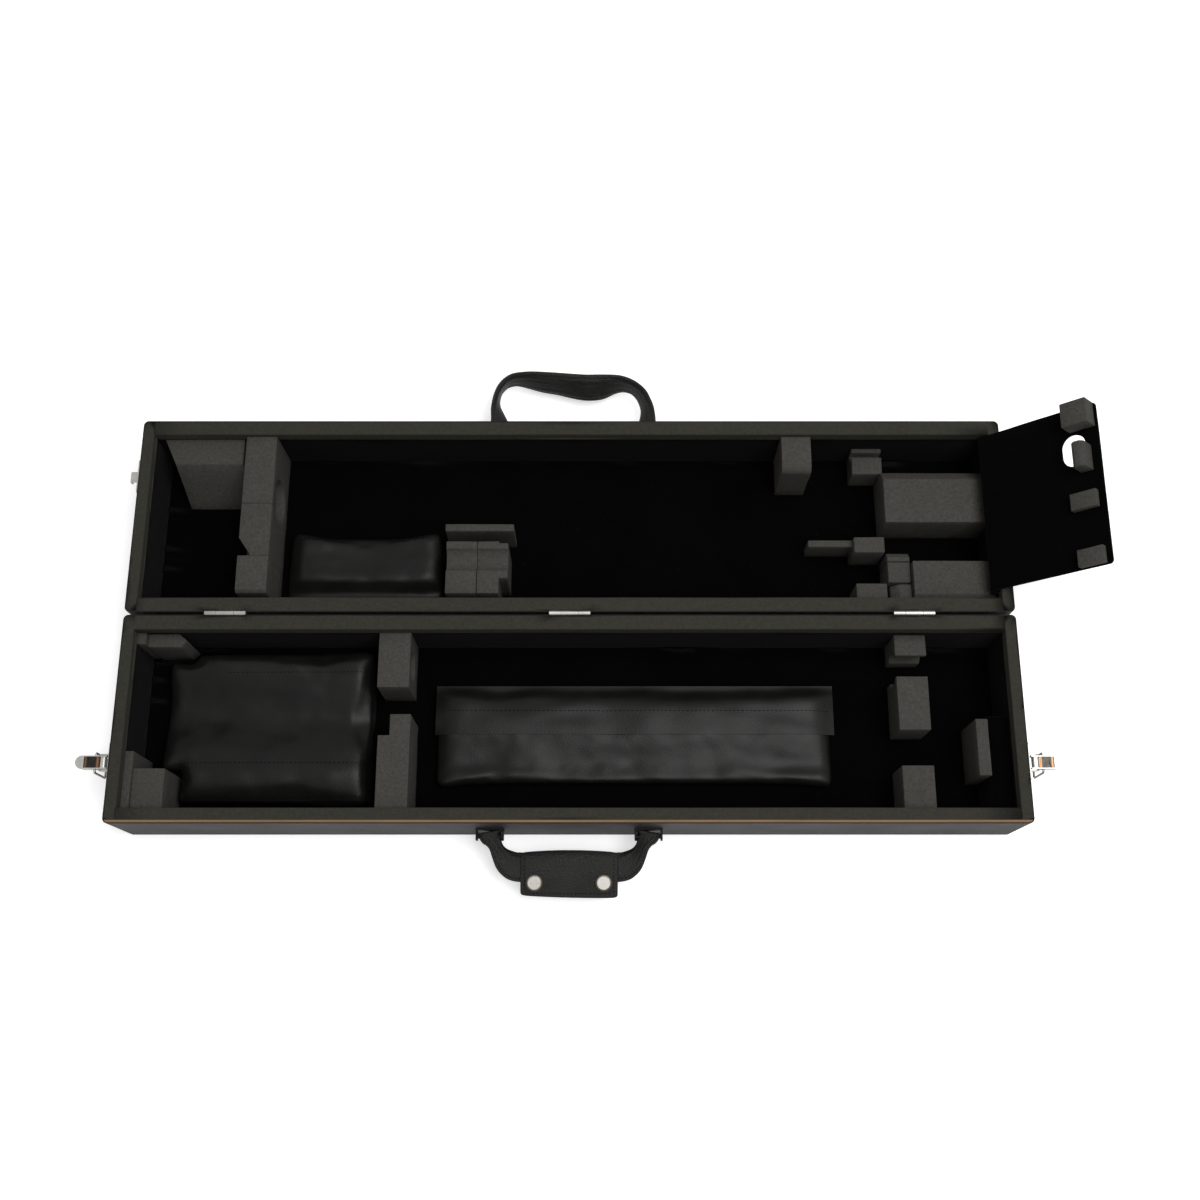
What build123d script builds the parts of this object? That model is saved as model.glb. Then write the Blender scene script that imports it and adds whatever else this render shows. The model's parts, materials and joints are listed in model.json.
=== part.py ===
"""Hard case for a bass clarinet and two clarinets, lying open on its two halves.

Frame: millimetres, +Z up. The origin is the centre of the face that the base half rests on. X runs along
the case, -Y is the front of the base, and the lid lies behind the base, hinged to it along X.
"""
import os

from build123d import *

# ---- the two halves of the case ----
case_length = 870.0
half_width = 203.0
half_height = 80.0
hinge_gap = 3.0  # between the spines of the two halves when open
rim_clearance = 0.2  # each rim stops this far short of the closing plane
corner_radius = 5.0
bottom_radius = 2.5
cover_thickness = 1.0
cover_lip = 5.0  # height of the pan that wraps the bottom edge
wall_board = 6.0
floor_board = 5.0
floor_lining = 3.0
long_rim_width = 15.0  # rim of the front, spine and back walls
end_rim_width = 11.5
rim_band_depth = 12.0
rim_cap = 2.0  # thickness of the band over the boards
rim_edge_radius = 1.5
lining_recess = 1.0  # the lining lies this far behind the face of the rim band
bare_edge = 3.4  # strip of the front board's top edge that the rim band leaves bare

# ---- spine hinges ----
hinge_pitch = 336.0
hinge_width = 40.0
hinge_leaf = 1.2
hinge_leaf_drop = 26.0
knuckle_radius = 2.5
knuckle_middle = 17.0
knuckle_gap = 0.3
hinge_pin_radius = 1.25
running_clearance = 0.05
hinge_notch_gap = 0.7
hinge_screw_pitch = 26.0
hinge_screw_drop = 15.0
screw_head_radius = 2.8
screw_tip_radius = 1.6

# ---- draw latches on the end walls ----
latch_y = -42.0
latch_plate_width = 37.0
latch_plate_height = 22.0
latch_plate_thickness = 1.5
latch_pivot_drop = 14.0  # below the closing plane
latch_pivot_out = 9.0
latch_pin_radius = 1.5
latch_ear = 1.2
lever_width = 12.8
lever_length = 26.0
lever_sheet = 1.2
lever_flange = 6.0
lever_recess = 0.9  # the web lies this far below the edges of the flanges
lever_web_start = 5.0  # from the pivot, so that the barrel on the pin shows
bail_hole = 8.0  # from the lever's pivot to the bail's hole
bail_wire = 1.1
bail_length = 30.1
bail_half_width = 9.4
bail_corner = 1.6  # each bend is two turns of 45 degrees, this far from the corner
rivet_pitch = 29.0
rivet_head_radius = 4.2
rivet_head_height = 1.2
catch_width = 36.0
catch_height = 20.0
catch_hook_width = 11.0
catch_hook_out = 9.5
catch_hook_drop = 8.0  # from the closing plane to the bail's wire
catch_hook_lip = 6.0

# ---- handles ----
handle_out = 7.0  # pivot of each strap, out from the wall
handle_droop = 12.0  # degrees below level
handle_pin_radius = 2.0
handle_eye_radius = 4.5
handle_eye_width = 22.0
anchor_ear = 2.0
anchor_plate = 1.5
strap_thickness = 6.0
strap_leg_width = 15.0
strap_bend = 24.0  # radius of each leg's turn into the middle
front_leg_pitch = 152.0
front_reach = 43.0
front_strap_width = 27.0
front_shoulder = 26.0  # from each pin in to the end of the middle part
front_grip_length = 93.0
front_grip_depth = 41.5
front_grip_overhang = 13.5  # of the wrap beyond the strap's outer edge
front_grip_thickness = 13.0
snap_radius = 8.0
snap_height = 2.0
snap_pitch = 66.0
snap_inset = 13.5  # from the wrap's outer edge
rear_leg_pitch = 156.0
rear_reach = 80.0
rear_strap_width = 33.0
rear_shoulder = 27.0

# ---- accessory panel in the lid ----
panel_pivot_in = 19.3  # from the outer face of the end wall
panel_pivot_drop = 4.6  # below the closing plane
panel_thickness = 3.5
panel_length = 124.0
panel_front_gap = 24.0  # from the hinge axis of the case
panel_rear_gap = 3.0
panel_open_angle = 44.0  # degrees above level, open
panel_corner_radius = 4.0
finger_hole_length = 32.0
finger_hole_width = 24.0
finger_hole_along = 98.0
finger_hole_across = 120.0
ledge_gap = 0.35
ledge_height = 12.0
ledge_top_drop = 6.0
peg_press_size = (26.0, 25.0, 18.0)
joint_press_size = (13.0, 26.0, 20.0)
panel_pad_size = (26.0, 17.0, 7.0)
peg_press_at = (96.0, 138.0)
joint_press_at = (103.0, 94.5)
rear_pad_at = (92.0, 57.0)
front_pad_at = (93.0, 0.8)

# ---- foam blocks: how far their tops lie below the closing plane ----
base_block_drop = 11.0
bell_block_drop = 14.0
base_divider_drop = 23.0
divider_drop = 5.0
lid_block_drop = 10.0
wedge_drop = 14.0
saddle_strip_drop = 20.0
panel_block_drop = 21.0  # blocks that lie under the closed panel
cradle_drop = 30.0
peg_cradle_drop = 38.0

# ---- foam blocks in the base; depths and gaps run from the front lining, or from the spine lining ----
block_width = 31.0
bell_bay = 238.0  # from the left end to the neck dividers
bell_pad_width = 9.0
bell_pad_reach = 30.5
end_pad_depth = 56.5
front_pad_depth = 40.5
spine_pad_depth = 12.0
spine_slope_depth = 13.5
spine_slope_reach = 8.0
spine_slope_drop = 6.0  # below the small block beside it
rear_neck_depth = 56.0
front_neck_depth = 92.5
front_neck_shift = 3.0
neck_step_gap = 72.0
neck_step_width = 11.0
joint_end_recess = 6.0
joint_end_radius = 15.0
joint_end_rise = 8.0  # above the axis of the clarinets
joint_end_shift = 1.0
barrel_bay = 40.5  # from the clarinet dividers to the bell stop
bell_stop_width = 12.0
bell_stop_gap = 33.5
bell_stop_depth = 55.0
end_backing_width = 21.5
end_backing_depth = 92.5
end_backing_drop = 6.0  # below the bell stop
clarinet_radius = 17.0
clarinet_height = 29.0  # axis above the floor lining
rear_clarinet_y = 56.0
rear_clarinet_gap = 21.0
front_clarinet_y = -25.25
front_clarinet_gap = 34.5

# ---- foam blocks in the lid; depths and gaps run from the spine lining, or from the back lining ----
bow_bay = 94.0  # from the left end to the bore divider
bell_wedge_width = 82.0
bell_wedge_depth = 55.5
bell_cut_front = 24.0
bell_cut_back = 8.0
bore_rear_depth = 73.5
bore_middle_depth = 55.5
bore_front_gap = 7.5
bore_radius = 23.0
bore_height = 35.0  # axis above the floor lining
bore_gap = 61.0
bore_recess = 9.0
bore_corner_depth = 20.0
bore_corner_width = 12.0
joint_saddle_x = -93.0
joint_saddle_width = 62.0
joint_saddle_depth = 54.8
joint_saddle_gap = 8.0
joint_radius = 12.0
joint_gap = 43.5
joint_rise = 4.0  # axis above the saddle
saddle_notch_width = 9.0
saddle_notch_depth = 16.0
saddle_nick = 2.0
saddle_strip_length = 69.5
saddle_strip_depth = 7.7
saddle_strip_gap = 77.0
peg_block_x = 229.0
peg_block_width = 30.0
peg_block_depth = 39.0
peg_block_roll = 9.0
peg_cradle_depth = 28.7
peg_cradle_back = 12.0  # from its middle to the key block
peg_slot_gap = 4.5
peg_slot_width = 5.5
peg_slot_depth = 12.0
key_block_width = 106.0
key_block_depth = 59.0
key_block_gap = 29.0
key_slope_drop = 13.0
key_slope_depth = 12.0
end_block_width = 81.5
end_block_depth = 40.0
end_block_gap = 6.0
rear_cradle_gap = 57.8
rear_cradle_depth = 16.7
front_cradle_gap = 5.0
front_cradle_depth = 20.0
wing_length = 45.0
wing_depth = 7.5
wing_drop = 10.0
rear_plug_span = (48.0, 58.5)
middle_plug_span = (25.7, 47.5)
front_plug_span = (8.0, 24.0)
plug_fit = 0.5  # from a plug to the block beside it
block_ease = 3.0
end_block_ease = 5.0
rear_plug_ease = 6.0
front_plug_ease = 8.0

# ---- soft pouches; each gap is from the pouch to the lining or the block beside it ----
pouch_height = 20.0
pouch_corner = 8.0
bell_pouch_gap = 7.5
bell_pouch_front = 5.5
bell_pouch_rear = 5.0
bell_pouch_side = 3.0
bell_pouch_height = 34.0
pouch_cut_gap = 1.5  # round the pad and the sloped block
middle_pouch_gap = 31.0
middle_pouch_front = 25.5
middle_pouch_rear = 39.5
middle_pouch_side = 53.0
lid_pouch_gap = 3.0
lid_pouch_side = 3.5
lid_pouch_front = 4.0
lid_pouch_depth = 88.0

# ---- values that follow ----
half_length = case_length / 2
rim_top = half_height - rim_clearance
floor_top = cover_thickness + floor_board + floor_lining
latch_pivot_z = half_height - latch_pivot_drop
catch_hook_z = half_height - catch_hook_drop
handle_z = half_height / 2
base_block_top = half_height - base_block_drop
bell_block_top = half_height - bell_block_drop
base_divider_top = half_height - base_divider_drop
divider_top = half_height - divider_drop
lid_block_top = half_height - lid_block_drop
wedge_top = half_height - wedge_drop
saddle_strip_top = half_height - saddle_strip_drop
panel_block_top = half_height - panel_block_drop
cradle_top = half_height - cradle_drop
peg_cradle_top = half_height - peg_cradle_drop
clarinet_z = floor_top + clarinet_height
board_bottom = cover_thickness + floor_board
board_top = rim_top - rim_cap
band_bottom = rim_top - rim_band_depth
wall_inset = cover_thickness + wall_board
long_lining_inset = long_rim_width - lining_recess
end_lining_inset = end_rim_width - lining_recess
hinge_y = half_width / 2 + hinge_gap / 2
lid_y = half_width + hinge_gap
tray_end = half_length - end_lining_inset
base_rear = half_width / 2 - long_lining_inset
base_front = -base_rear
lid_front = lid_y - base_rear
lid_rear = lid_y + base_rear
panel_front = hinge_y + panel_front_gap
panel_depth = lid_rear - panel_rear_gap - panel_front
bell_pad_end = bell_pad_width - tray_end
neck_divider_x = bell_bay + block_width / 2 - tray_end
bell_stop_x = tray_end - end_backing_width - bell_stop_width
base_divider_x = bell_stop_x - barrel_bay - block_width / 2
bore_divider_x = bow_bay + block_width / 2 - tray_end
key_block_x = tray_end - key_block_width
end_block_x = tray_end - end_block_width
peg_cradle_x = key_block_x - peg_cradle_back
hinge_places = (-hinge_pitch, 0.0, hinge_pitch)
catch_y = 2 * hinge_y - latch_y


def box(x0, x1, y0, y1, z0, z1):
    """A box between two corners."""
    return Pos((x0 + x1) / 2, (y0 + y1) / 2, (z0 + z1) / 2) * Box(x1 - x0, y1 - y0, z1 - z0)


def rod_x(x0, x1, y, z, radius):
    """A round rod along X."""
    return Pos((x0 + x1) / 2, y, z) * (Rot(0, 90, 0) * Cylinder(radius, x1 - x0))


def rod_y(x, y0, y1, z, radius):
    """A round rod along Y."""
    return Pos(x, (y0 + y1) / 2, z) * (Rot(90, 0, 0) * Cylinder(radius, y1 - y0))


def rounded_plate(y_middle, inset, z0, z1):
    """A slab with the outline of one half, drawn in by an inset."""
    outline = RectangleRounded(case_length - 2 * inset, half_width - 2 * inset, corner_radius - inset)
    return Pos(0, y_middle, z0) * extrude(outline, z1 - z0)


def square_plate(y_middle, long_inset, end_inset, z0, z1):
    """A slab inside one half, with its own inset at the long walls and at the ends."""
    half_x, half_y = half_length - end_inset, half_width / 2 - long_inset
    return box(-half_x, half_x, y_middle - half_y, y_middle + half_y, z0, z1)


def group(solids):
    """Separate solids kept as one node."""
    return Compound(children=[s for piece in solids for s in piece.solids()])


def hinge_notches(y_middle, side):
    """Room for the knuckles in the spine wall; side is +1 where the spine is at +Y of its half."""
    spine = y_middle + side * half_width / 2
    depth = knuckle_radius + hinge_notch_gap - hinge_gap / 2
    low = half_height - knuckle_radius - hinge_notch_gap
    half = hinge_width / 2 + hinge_notch_gap
    inner, outer = sorted((spine - side * depth, spine + side * hinge_gap))
    return [box(x - half, x + half, inner, outer, low, half_height + 1) for x in hinge_places]


def screw_places():
    """X of every hinge screw."""
    return [x + n * hinge_screw_pitch for x in hinge_places for n in (-0.5, 0.5)]


def hinge_screws(y_middle, side):
    """Countersunk screw heads in one set of leaves, flush with the leaf."""
    middle = y_middle + side * (half_width + hinge_leaf) / 2
    head = Rot(-90 * side, 0, 0) * Cone(screw_tip_radius, screw_head_radius, hinge_leaf)
    return [Pos(x, middle, half_height - hinge_screw_drop) * head for x in screw_places()]


# ---- shells ----
def eased_bottom(board):
    """A board with its lower edge planed off, as the covering wraps round it."""
    return chamfer(board.faces().sort_by(Axis.Z)[0].edges(), bottom_radius - cover_thickness)


def cover_floor(y_middle):
    """Pan of covering under one half, wrapped round the bottom edge."""
    pan = rounded_plate(y_middle, 0, 0, cover_lip)
    pan = fillet(pan.faces().sort_by(Axis.Z)[0].edges(), bottom_radius)
    inside = rounded_plate(y_middle, cover_thickness, cover_thickness, cover_lip + 1)
    return pan - eased_bottom(inside)


def cover_walls(y_middle, side):
    """Covering round the four walls of one half."""
    ring = rounded_plate(y_middle, 0, cover_lip, rim_top)
    ring -= rounded_plate(y_middle, cover_thickness, cover_lip - 1, rim_top + 1)
    return ring - hinge_notches(y_middle, side)


def floor_board_of(y_middle):
    """Plywood floor of one half."""
    return eased_bottom(rounded_plate(y_middle, cover_thickness, cover_thickness, board_bottom))


def wall_boards(y_middle, side):
    """Four plywood walls: two long ones and two ends between them."""
    ring = rounded_plate(y_middle, cover_thickness, board_bottom, board_top)
    ring -= square_plate(y_middle, wall_inset, wall_inset, board_bottom - 1, board_top + 1)
    if side > 0:
        strip_y = y_middle - half_width / 2
        bare = box(-half_length, half_length, strip_y, strip_y + bare_edge, board_top, rim_top - 0.5)
        ring += bare & rounded_plate(y_middle, cover_thickness, board_top - 1, rim_top)
    ring -= hinge_notches(y_middle, side)
    inner_y = half_width / 2 - wall_inset
    ends = box(-half_length, half_length, y_middle - inner_y, y_middle + inner_y, 0, half_height)
    return group([ring - ends, ring & ends])


def rim_band(y_middle, side):
    """Padded band over the top of the walls and down their inner faces, in four pieces butted at the ends."""
    cap = rounded_plate(y_middle, cover_thickness, board_top, rim_top)
    drop = square_plate(y_middle, wall_inset, wall_inset, band_bottom, board_top)
    hollow = square_plate(y_middle, long_rim_width, end_rim_width, band_bottom - 1, rim_top + 1)
    band = cap + drop - hollow
    inner = band.edges().filter_by(Plane.XY).group_by(Axis.Z)[-1].sort_by(SortBy.LENGTH)
    inner_box = square_plate(y_middle, long_rim_width + 0.1, end_rim_width + 0.1, 0, half_height)
    near = [e for e in inner if e.distance_to(inner_box) < 0.2]
    band = fillet(near, rim_edge_radius)
    if side > 0:
        front = y_middle - half_width / 2
        band -= box(-half_length, half_length, front, front + bare_edge, board_top, half_height)
    band -= hinge_notches(y_middle, side)
    between = half_length - end_rim_width
    middle = box(-between, between, y_middle - half_width, y_middle + half_width, 0, half_height)
    return group([band & middle, band - middle])


def wall_lining(y_middle):
    """Velvet-faced lining of the four walls below the rim band."""
    lining = square_plate(y_middle, wall_inset, wall_inset, board_bottom, band_bottom)
    lining -= square_plate(y_middle, long_lining_inset, end_lining_inset, 0, half_height)
    inner_y = half_width / 2 - long_lining_inset
    ends = box(-half_length, half_length, y_middle - inner_y, y_middle + inner_y, 0, half_height)
    return group([lining - ends, lining & ends])


def floor_lining_of(y_middle):
    """Velvet-faced lining of the floor."""
    return square_plate(y_middle, long_lining_inset, end_lining_inset, board_bottom, floor_top)


# ---- spine hinges ----
def knuckle_spans(x, middle):
    """The stretches along X of one hinge's knuckles: the middle one, or the two outer ones."""
    half, inner = hinge_width / 2, knuckle_middle / 2
    if middle:
        return [(x - inner, x + inner)]
    return [(x - half, x - inner - knuckle_gap), (x + inner + knuckle_gap, x + half)]


def hinge_leaves(y_middle, side, middle):
    """Leaves screwed on a spine, each with its share of the knuckles."""
    face = y_middle + side * half_width / 2
    inner, outer = sorted((face, face + side * hinge_leaf))
    low = half_height - hinge_leaf_drop
    shoulder = half_height - knuckle_radius - hinge_notch_gap
    leaves = []
    for x in hinge_places:
        leaf = box(x - hinge_width / 2, x + hinge_width / 2, inner, outer, low, shoulder)
        for x0, x1 in knuckle_spans(x, middle):
            leaf += box(x0, x1, inner, outer, shoulder - 1, half_height)
            leaf += rod_x(x0, x1, hinge_y, half_height, knuckle_radius)
        bore = hinge_pin_radius + running_clearance
        leaf -= rod_x(x - hinge_width, x + hinge_width, hinge_y, half_height, bore)
        leaves.append(leaf)
    screws = hinge_screws(y_middle, side)
    return group([leaf - screws for leaf in leaves])


def hinge_pins():
    """One pin through each hinge."""
    half = hinge_width / 2
    return group([rod_x(x - half, x + half, hinge_y, half_height, hinge_pin_radius) for x in hinge_places])


# ---- draw latches ----
def rivets(side, y, z):
    """Two round-headed rivets that hold a plate to an end wall."""
    face = half_length + latch_plate_thickness
    heads = []
    for offset in (-rivet_pitch / 2, rivet_pitch / 2):
        middle = face + rivet_head_height / 2
        head = Pos(middle, y + offset, z) * (Rot(0, 90, 0) * Cylinder(rivet_head_radius, rivet_head_height))
        heads.append(chamfer(head.faces().sort_by(Axis.X)[-1].edges(), rivet_head_height * 0.6))
    return [h if side > 0 else mirror(h, Plane.YZ) for h in heads]


def end_plate(y, z, width, height):
    """A plate with rounded corners on the right end wall."""
    outline = RectangleRounded(height, width, 3)
    return Pos(half_length, y, z) * (Rot(0, 90, 0) * extrude(outline, latch_plate_thickness))


def latch_plate():
    """Right-hand latch plate, with two ears and the lever's pivot pin."""
    plate = end_plate(latch_y, latch_pivot_z, latch_plate_width, latch_plate_height)
    pivot_x = half_length + latch_pivot_out
    inner = lever_width / 2 + 0.3
    for sign in (-1, 1):
        y0, y1 = sorted((latch_y + sign * inner, latch_y + sign * (inner + latch_ear)))
        ear = box(half_length, pivot_x, y0, y1, latch_pivot_z - 4, latch_pivot_z + 4)
        plate += ear + rod_y(pivot_x, y0, y1, latch_pivot_z, 4)
    reach = inner + latch_ear
    return plate + rod_y(pivot_x, latch_y - reach, latch_y + reach, latch_pivot_z, latch_pin_radius)


def latch_lever():
    """Right-hand lever, open: a pressed channel with a sunk web, a barrel on the pin and a rounded tip."""
    pivot_x = half_length + latch_pivot_out
    half = lever_width / 2
    top = latch_pivot_z + lever_flange / 2 + lever_sheet
    web_top = top - lever_recess
    tip = pivot_x + lever_length
    barrel = latch_pin_radius + 1.3
    y0, y1 = latch_y - half, latch_y + half
    channel = box(pivot_x - barrel - 1, tip - half, y0, y1, top - lever_flange - lever_sheet, top)
    inner = y0 + lever_sheet, y1 - lever_sheet
    channel -= box(pivot_x - 2 * barrel, tip, *inner, 0, web_top - lever_sheet)
    channel -= box(pivot_x - 2 * barrel, tip - half - lever_sheet, *inner, web_top, top + 1)
    channel -= box(pivot_x - 2 * barrel, pivot_x + lever_web_start, *inner, 0, top + 1)
    taper = Polyline((pivot_x + bail_hole + 3, 0), (tip, 0), (tip, web_top - lever_sheet), close=True)
    channel -= Pos(0, latch_y, 0) * extrude(Plane.XZ * make_face(taper), lever_width, both=True)
    channel += Pos(tip - half, latch_y, web_top - lever_sheet) * extrude(Circle(half), top - web_top + lever_sheet)
    channel += rod_y(pivot_x, y0, y1, latch_pivot_z, barrel)
    channel += box(pivot_x, pivot_x + lever_web_start, *inner, latch_pivot_z + 1.6, latch_pivot_z + barrel)
    channel -= rod_y(pivot_x, -half_width, half_width, latch_pivot_z, latch_pin_radius + running_clearance)
    bail_x = pivot_x + bail_hole
    return channel - rod_y(bail_x, -half_width, half_width, latch_pivot_z, bail_wire + running_clearance)


def latch_bail():
    """Right-hand wire bail, hanging from the lever."""
    x = half_length + latch_pivot_out + bail_hole
    wide, cut = bail_half_width, bail_corner
    top, low = latch_pivot_z, latch_pivot_z - bail_length
    stub = lever_width / 2 - 2.6
    half = [(stub, top), (wide - cut, top), (wide, top - cut), (wide, low + cut), (wide - cut, low)]
    points = [(x, latch_y + y, z) for y, z in half] + [(x, latch_y - y, z) for y, z in reversed(half)]
    start = Plane(origin=points[0], z_dir=(0, 1, 0))
    return sweep(start * Circle(bail_wire), path=Polyline(*points), transition=Transition.RIGHT)


def catch():
    """Right-hand catch on the lid's end wall: a plate with a hook that opens away from the rim."""
    z = half_height - 1.5 - catch_height / 2
    plate = end_plate(catch_y, z, catch_width, catch_height)
    half = catch_hook_width / 2
    shelf = catch_hook_z + bail_wire + 0.5
    out = half_length + catch_hook_out
    sheet = latch_plate_thickness
    hook = box(half_length, out, catch_y - half, catch_y + half, shelf, shelf + sheet)
    hook += box(out - sheet, out, catch_y - half, catch_y + half, shelf + sheet - catch_hook_lip, shelf + sheet)
    return plate + fillet(hook.edges().filter_by(Axis.Y).sort_by(Axis.X)[-1], 1)


def both_ends(piece):
    """A right-hand piece and its mirror image at the other end."""
    return [piece, mirror(piece, Plane.YZ)]


# ---- handles ----
def handle_anchors(wall_y, side, leg_pitch):
    """Two brackets on a wall, each with the pin that a strap's eye turns on."""
    brackets = []
    pin_y = wall_y + side * handle_out
    inner = handle_eye_width / 2 + 0.4
    for x in (-leg_pitch / 2, leg_pitch / 2):
        y0, y1 = sorted((wall_y, wall_y + side * anchor_plate))
        reach = inner + anchor_ear
        bracket = box(x - reach, x + reach, y0, y1, handle_z - 8, handle_z + 8)
        for sign in (-1, 1):
            x0, x1 = sorted((x + sign * inner, x + sign * reach))
            e0, e1 = sorted((wall_y, pin_y))
            bracket += box(x0, x1, e0, e1, handle_z - 4, handle_z + 4) + rod_x(x0, x1, pin_y, handle_z, 4)
        brackets.append(bracket + rod_x(x - reach, x + reach, pin_y, handle_z, handle_pin_radius))
    return group(brackets)


def strap_flat(leg_pitch, reach, width, shoulder):
    """Strap in its own plane: X along the wall, Y outward from the pins, Z its thickness."""
    half, middle = leg_pitch / 2, reach - width / 2
    long = 2 * (half - shoulder)
    outline = Pos(0, middle) * RectangleRounded(long + width, width, width * 0.45)
    for sign in (-1, 1):
        y = middle + (width - strap_leg_width) / 2
        leg = FilletPolyline((sign * half, 0), (sign * half, y), (sign * long / 2, y), radius=strap_bend)
        outline += trace(leg, strap_leg_width)
    strap = extrude(outline, strap_thickness / 2, both=True)
    for x in (-half, half):
        strap += rod_x(x - handle_eye_width / 2, x + handle_eye_width / 2, 0, 0, handle_eye_radius)
        strap -= rod_x(x - handle_eye_width, x + handle_eye_width, 0, 0, handle_pin_radius + running_clearance)
    return strap


def front_strap_flat():
    """Strap of the front handle."""
    return strap_flat(front_leg_pitch, front_reach, front_strap_width, front_shoulder)


def placed_handle(piece, wall_y, side):
    """Turns a flat handle piece outward from its wall and droops it."""
    turned = piece if side > 0 else mirror(piece, Plane.XZ)
    return Pos(0, wall_y + side * handle_out, handle_z) * (Rot(-side * handle_droop, 0, 0) * turned)


def front_grip_flat():
    """Leather wrap round the middle of the front strap, with a hollow for the strap."""
    y1, half = front_reach + front_grip_overhang, front_grip_length / 2
    thick = front_grip_thickness / 2
    grip = box(-half, half, y1 - front_grip_depth, y1, -thick, thick)
    grip = fillet(grip.edges().filter_by(Axis.X), thick * 0.8)
    return grip - front_strap_flat()


def front_snaps_flat():
    """Two snap buttons on the wrap."""
    snaps = []
    y = front_reach + front_grip_overhang - snap_inset
    for x in (-snap_pitch / 2, snap_pitch / 2):
        button = Pos(x, y, front_grip_thickness / 2 + snap_height / 2) * Cylinder(snap_radius, snap_height)
        snaps.append(chamfer(button.faces().sort_by(Axis.Z)[-1].edges(), snap_height * 0.5, snap_height))
    return group(snaps)


# ---- accessory panel, drawn flat: X from the pivot to the free edge, Z towards its inner face ----
def panel_place():
    """Where the flat panel goes: on its pivot, leaning out over the end wall."""
    x, z = half_length - panel_pivot_in, half_height - panel_pivot_drop
    return Pos(x, panel_front, z) * Rot(0, -panel_open_angle, 0)


def panel_board_flat():
    """Board with a rounded pivot edge and an oval finger hole."""
    half = panel_thickness / 2
    board = box(0, panel_length, 0, panel_depth, -half, half)
    free = board.edges().filter_by(Axis.Z).sort_by(Axis.X)[-2:]
    board = fillet(free, panel_corner_radius)
    board += rod_y(0, 0, panel_depth, 0, half)
    slot = SlotOverall(finger_hole_length, finger_hole_width, rotation=90)
    hole = Pos(finger_hole_along, finger_hole_across, -half - 1) * extrude(slot, panel_thickness + 2)
    return board - hole


def panel_block_flat(at, size):
    """Foam block on the panel's inner face."""
    z = panel_thickness / 2
    return box(at[0], at[0] + size[0], at[1], at[1] + size[1], z, z + size[2])


def joint_press_flat():
    """Foam block whose top is cut to a ridge."""
    block = panel_block_flat(joint_press_at, joint_press_size)
    top = block.faces().sort_by(Axis.Z)[-1]
    return chamfer(top.edges().filter_by(Axis.Y), joint_press_size[0] * 0.28)


def panel_ledge():
    """Batten on the end wall that the panel is hinged to."""
    x0 = half_length - panel_pivot_in + panel_thickness / 2 + ledge_gap
    top = half_height - ledge_top_drop
    return box(x0, half_length - end_rim_width, panel_front, panel_front + panel_depth, top - ledge_height, top)


def beside_band(block, y_middle):
    """Trims the part of a block that stands beside the rim band back to the band's face."""
    half_y = half_width / 2 - wall_inset
    ring = box(-half_length, half_length, y_middle - half_y, y_middle + half_y, band_bottom, half_height)
    return block - (ring - square_plate(y_middle, long_rim_width, end_rim_width, 0, half_height + 1))


# ---- foam blocks in the base ----
def foam(x, width, y0, y1, top):
    """Foam block that stands on the floor lining."""
    return box(x - width / 2, x + width / 2, y0, y1, floor_top, top)


def bell_pads():
    """Two pads that keep the bell off the left end wall and the front wall."""
    end_pad = box(-tray_end, bell_pad_end, base_front, base_front + end_pad_depth, floor_top, base_block_top)
    x1, y1 = bell_pad_end + bell_pad_reach, base_front + front_pad_depth
    return group([beside_band(end_pad, 0), box(bell_pad_end, x1, base_front, y1, floor_top, bell_block_top)])


def bell_spine_blocks():
    """Small block and sloped block at the spine, behind the bell."""
    x0, x1 = bell_pad_end, bell_pad_end + bell_pad_reach
    y0, y1 = base_rear - spine_slope_depth, base_rear
    small = box(-tray_end, x0, base_rear - spine_pad_depth, base_rear, floor_top, bell_block_top)
    nose = (x1 + spine_slope_reach, (y0 + y1) / 2), (x1 + spine_slope_reach / 4, y0)
    outline = Polyline((x0, y1), (x1, y1), *nose, (x0, y0), close=True)
    sloped = extrude(make_face(outline), bell_block_top - spine_slope_drop - floor_top)
    return group([small, Pos(0, 0, floor_top) * sloped])


def neck_divider_rear():
    """Divider at the spine, with a round recess for the end of a clarinet joint."""
    block = foam(neck_divider_x, block_width, base_rear - rear_neck_depth, base_rear, base_block_top)
    x1 = neck_divider_x + block_width / 2
    y, z = rear_clarinet_y + joint_end_shift, clarinet_z + joint_end_rise
    return beside_band(block, 0) - rod_x(x1 - joint_end_recess, x1 + 1, y, z, joint_end_radius)


def neck_divider_front():
    """Divider at the front wall, stepped to clear the neck."""
    x, y1 = neck_divider_x + front_neck_shift, base_front + front_neck_depth
    block = beside_band(foam(x, block_width, base_front, y1, base_block_top), 0)
    x0 = x - block_width / 2
    return block - box(x0 - 1, x0 + neck_step_width, base_front + neck_step_gap, y1 + 1, 0, half_height)


def clarinet_bore(y):
    """Space that a clarinet's lower joint takes between two dividers."""
    half = block_width
    return rod_x(base_divider_x - half, base_divider_x + half, y, clarinet_z, clarinet_radius)


def clarinet_dividers():
    """The three dividers at the right of the base, with room for a clarinet in each gap."""
    rear_gap = rear_clarinet_y - rear_clarinet_gap / 2, rear_clarinet_y + rear_clarinet_gap / 2
    front_gap = front_clarinet_y - front_clarinet_gap / 2, front_clarinet_y + front_clarinet_gap / 2
    spans = (rear_gap[1], base_rear), (front_gap[1], rear_gap[0]), (base_front, front_gap[0])
    bores = [clarinet_bore(rear_clarinet_y), clarinet_bore(front_clarinet_y)]
    return [foam(base_divider_x, block_width, y0, y1, base_divider_top) - bores for y0, y1 in spans]


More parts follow.
